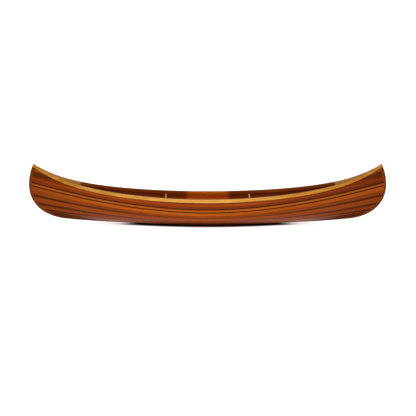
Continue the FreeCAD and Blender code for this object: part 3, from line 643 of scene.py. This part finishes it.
# %% [markdown]
# ## Seat
#
# A caned seat hangs low between two cleats. Its frame is ash, rounded where legs rub it. The front and rear
# rails lie across the hull and the side rails along it, so the same wood is needed with its grain both
# ways.

# %% Seat frame
SEAT_ASH = (rgb(190, 134, 74), rgb(230, 180, 112))
seat_wood = wood("ash_seat", *SEAT_ASH, along="Y")
seat_wood_long = wood("ash_seat_side", *SEAT_ASH)
for node in ("seat_front_rail", "seat_rear_rail"):
    eased(node, 0.0025, seat_wood, segments=3)
for side in SIDES:
    eased(f"seat_side_rail_{side}", 0.0012, seat_wood_long)
    eased(f"seat_riser_{side}", 0.002, seat_wood_long)
print("seat frame done")

# %% [markdown]
# ### Woven cane
#
# The seat's sheet is woven from split rattan: pairs of strands one way and across, and single strands on
# both diagonals. A picture of a weave would be flat from close by, so it is real geometry. Each strand is a
# narrow grid laid across the opening, and its corners rise and fall by a wave, so that strands pass over
# and under each other. The grids get their thickness together at the end.

# %% Strands
STRAND, CANE_THICKNESS = 0.0024, 0.0005
PITCH, PAIR = 0.0127, 0.0036        # from pair to pair, and between the strands of a pair
WAVE = 0.00035                      # how far a strand rises and falls
PAIR_LIFT, SLANT_LIFT = 0.0001, 0.00045
CANE_MARGIN = 0.0015
cane_low, cane_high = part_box("seat_cane")
cane_centre = (cane_low + cane_high) / 2
cane_half_x = (cane_high.x - cane_low.x) / 2 - CANE_MARGIN
cane_half_y = (cane_high.y - cane_low.y) / 2 - CANE_MARGIN


def strand(shape, middle, angle, half_length, lift, phase):
    """One strand, waving over and under the ones it crosses."""
    steps = max(2, int(2 * half_length / (PITCH / 2)))
    made = bmesh.ops.create_grid(shape, x_segments=steps, y_segments=1, size=0.5)
    spun = Matrix.Rotation(angle, 4, "Z")
    stretch = Matrix.Diagonal((2 * half_length, STRAND, 1.0, 1.0))
    bmesh.ops.transform(shape, matrix=spun @ stretch, verts=made["verts"])
    for vert in made["verts"]:
        run = Vector((math.cos(angle), math.sin(angle), 0.0)).dot(vert.co)
        vert.co.z = lift + WAVE * math.cos(2 * math.pi * run / PITCH + phase)
    bmesh.ops.translate(shape, vec=Vector((middle[0], middle[1], cane_centre.z)), verts=made["verts"])


def chord(offset, angle):
    """The middle and half length of a slanting line inside the opening, unless it is too short to weave."""
    way = Vector((math.cos(angle), math.sin(angle)))
    across = Vector((-way.y, way.x)) * offset
    spans = [[(sign * half - start) / step for sign in (1, -1)] for half, start, step
             in ((cane_half_x, across.x, way.x), (cane_half_y, across.y, way.y))]
    low, high = max(min(span) for span in spans), min(max(span) for span in spans)
    if high - low < 2 * PITCH:
        return None
    return across + way * ((low + high) / 2), (high - low) / 2


print("cane opening", [round(v * 1000) for v in cane_high - cane_low], "mm")

# %% Weave the cane
weave = bmesh.new()
straight = ((cane_half_y, cane_half_x, 0.0), (cane_half_x, cane_half_y, math.pi / 2))
for half_here, half_there, angle in straight:
    count = int((half_here - PAIR) / PITCH)
    for k in range(-count, count + 1):
        for beside in (-PAIR / 2, PAIR / 2):
            offset = k * PITCH + beside
            middle = (cane_centre.x + offset, 0.0) if angle else (cane_centre.x, offset)
            strand(weave, middle, angle, half_there, 0.0 if angle else PAIR_LIFT, math.pi * (k % 2))
count = math.ceil((cane_half_x + cane_half_y) / PITCH)
for turn in (1, -1):
    for k in range(-count, count):
        found = chord((k + 0.5) * PITCH / math.sqrt(2), turn * math.pi / 4)
        if found:
            middle, reach = found
            strand(weave, (cane_centre.x + middle.x, middle.y), turn * math.pi / 4, reach, SLANT_LIFT * turn,
                   0.0)
bmesh.ops.solidify(weave, geom=weave.faces[:], thickness=CANE_THICKNESS)
shade(weave)
print(len(weave.faces), "faces woven")

# %% [markdown]
# ### Cane and reed
#
# Split rattan keeps its glossy skin and isn't varnished like the wood, so it has constants of its own. Its
# straw colour drifts in blotches, with fine flecks over them. The reed is pressed into the rabbet round the
# opening and holds the sheet.

# %% Cane and reed
CANE_SKIN = {"Roughness": 0.4, "Specular IOR Level": 0.35, "Coat Weight": 0.3, "Coat Roughness": 0.15}
FLECK_HEIGHT = 0.0001


def cane_finish():
    """Split rattan: pale straw with a glossy skin, blotches and fine flecks."""
    finish = Finish("cane", CANE_SKIN)
    where = finish.place()
    blotch = finish.noise(where, 38.0, 3.0)
    fleck = finish.noise(where, 420.0)
    colour = finish.ramp(blotch * 0.7 + fleck * 0.3, (0.2, rgb(178, 132, 70)), (0.6, rgb(214, 176, 112)),
                         (0.9, rgb(230, 200, 144)))
    return finish.set(Base_Color=colour, Normal=finish.bump(fleck, FLECK_HEIGHT))


new_piece("seat_cane_weave", weave, cane_finish(), "seat_cane")
reed_wood = wood("reed", rgb(176, 128, 70), rgb(216, 172, 108))
eased("seat_reed", 0.0006, reed_wood)
print("cane and reed done")

# %% [markdown]
# ## Fastenings
#
# Brass bolts hold the thwarts and brass screws hold the seat. Old brass is dull and a little brown in its
# hollows, so the colour and the roughness both drift with the same clouds.

# %% Brass


def brass_finish():
    """Worn brass: brighter where it is rougher."""
    finish = Finish("brass", {"Metallic": 1.0})
    cloud = finish.noise(finish.place(), 120.0, 3.0)
    colour = finish.ramp(cloud, (0.2, rgb(132, 96, 44)), (0.8, rgb(206, 170, 96)))
    return finish.set(Base_Color=colour, Roughness=cloud * 0.3 + 0.2)


brass = brass_finish()
for node in ("thwart_bolts", "thwart_washers", "thwart_nuts", "seat_screws"):
    eased(node, 0.0003, brass)
print("fastenings done")

# %% [markdown]
# ## Floor
#
# A pale floor runs out of view on all sides. Lamps alone would leave the boat's shadow on it from end to
# end, so the floor glows by itself, painted light that grows away from the boat. Only a lens-shaped patch
# under the hull is painted dark grey and has no glow: that is a painted shadow of the boat.

# %% Lay the floor
FLOOR_REACH, FLOOR_DROP = 150.0, 0.0005
SHADE_MIDDLE, SHADE_BEND, SHADE_EDGE = 0.20, 0.38, 0.05
GLOW, GLOW_OUT, GLOW_ALONG, GLOW_MOST = 0.42, 0.1, 0.3, 0.9
PAINTED_SHADOW_GREY, CLEAR_GREY = (0.1, 0.1, 0.1, 1.0), (0.95, 0.95, 0.95, 1.0)
floor_shape = bmesh.new()
bmesh.ops.create_grid(floor_shape, x_segments=1, y_segments=1, size=FLOOR_REACH)
floor_mesh = bpy.data.meshes.new("floor")
floor_shape.to_mesh(floor_mesh)
floor_shape.free()
floor = bpy.data.objects.new("floor", floor_mesh)
floor.location.z = -FLOOR_DROP
bpy.context.scene.collection.objects.link(floor)
paint = Finish("floor_paint", {"Roughness": 0.9, "Specular IOR Level": 0.0, "Emission Strength": 1.0})
where = paint.place()
x, y = paint.part(where, 0), abs(paint.part(where, 1))
# Painted shadow: a lens under the hull, dark grey and without glow.
clear = ((y + x * x * SHADE_BEND - SHADE_MIDDLE) / SHADE_EDGE).clamped()
# Painted light: the floor's glow, stronger away from the boat.
glow = (y * GLOW_OUT + abs(x) * GLOW_ALONG + GLOW).smaller(GLOW_MOST)
floor_mesh.materials.append(paint.set(Base_Color=paint.mix(clear, PAINTED_SHADOW_GREY, CLEAR_GREY),
                                      Emission_Color=clear * glow))
print("floor laid")

# %% [markdown]
# ## Light
#
# A panel hangs in front over the middle, so that the ends of the boat fall off a little. A low, soft sun
# from the front reaches under the turn of the bilge, and one from behind lights the tops of the rails. A
# narrow warm spot shines over the near gunwale onto the far wall amidships. The pale world fills the rest.
# The plain view transform keeps the colours of the woods as they were chosen.

# %% Lamps and world
PANEL_POWER, PANEL_SIZE = 25.0, 1.0
PANEL_PLACE, PANEL_AIM = Vector((0.0, -1.9, 1.5)), Vector((0.0, 0.0, 0.15))
INSIDE_POWER, INSIDE_CONE, INSIDE_BLEND, INSIDE_RADIUS = 50.0, math.radians(19.5), 0.35, 0.01
INSIDE_PLACE, INSIDE_AIM = Vector((0.0, -0.8, 0.52)), Vector((0.0, 0.31, 0.2))
INSIDE_COLOUR = (1.0, 0.95, 0.45)
WORLD_STRENGTH = 0.3


def lamp(name, kind, power, away, place=(0.0, 0.0, 0.0)):
    """A lamp that shines from a given direction. Gives back its light, whose softness is still to be set."""
    light = bpy.data.lights.new(name, kind)
    light.energy = power
    holder = bpy.data.objects.new(name, light)
    holder.location = place
    holder.rotation_euler = away.to_track_quat("Z", "Y").to_euler()
    bpy.context.scene.collection.objects.link(holder)
    return light


def sun(name, strength, spread, azimuth, elevation):
    """A sun, shining from an azimuth (0 is in front) and an elevation. All angles are in degrees."""
    a, e = math.radians(azimuth), math.radians(elevation)
    away = Vector((math.sin(a) * math.cos(e), -math.cos(a) * math.cos(e), math.sin(e)))
    lamp(name, "SUN", strength, away).angle = math.radians(spread)


panel = lamp("panel", "AREA", PANEL_POWER, PANEL_PLACE - PANEL_AIM, PANEL_PLACE)
panel.size = PANEL_SIZE
inside = lamp("inside", "SPOT", INSIDE_POWER, INSIDE_PLACE - INSIDE_AIM, INSIDE_PLACE)
inside.spot_size, inside.spot_blend = INSIDE_CONE, INSIDE_BLEND
inside.shadow_soft_size, inside.color = INSIDE_RADIUS, INSIDE_COLOUR
sun("low", strength=0.9, spread=50, azimuth=0, elevation=4)
sun("back", strength=0.8, spread=60, azimuth=180, elevation=60)

world = bpy.data.worlds.new("world")
world.use_nodes = True
bpy.context.scene.world = world
background = world.node_tree.nodes["Background"]
background.inputs["Color"].default_value = (1.0, 1.0, 1.0, 1.0)
background.inputs["Strength"].default_value = WORLD_STRENGTH
bpy.context.scene.view_settings.view_transform = "Standard"
print("lit")
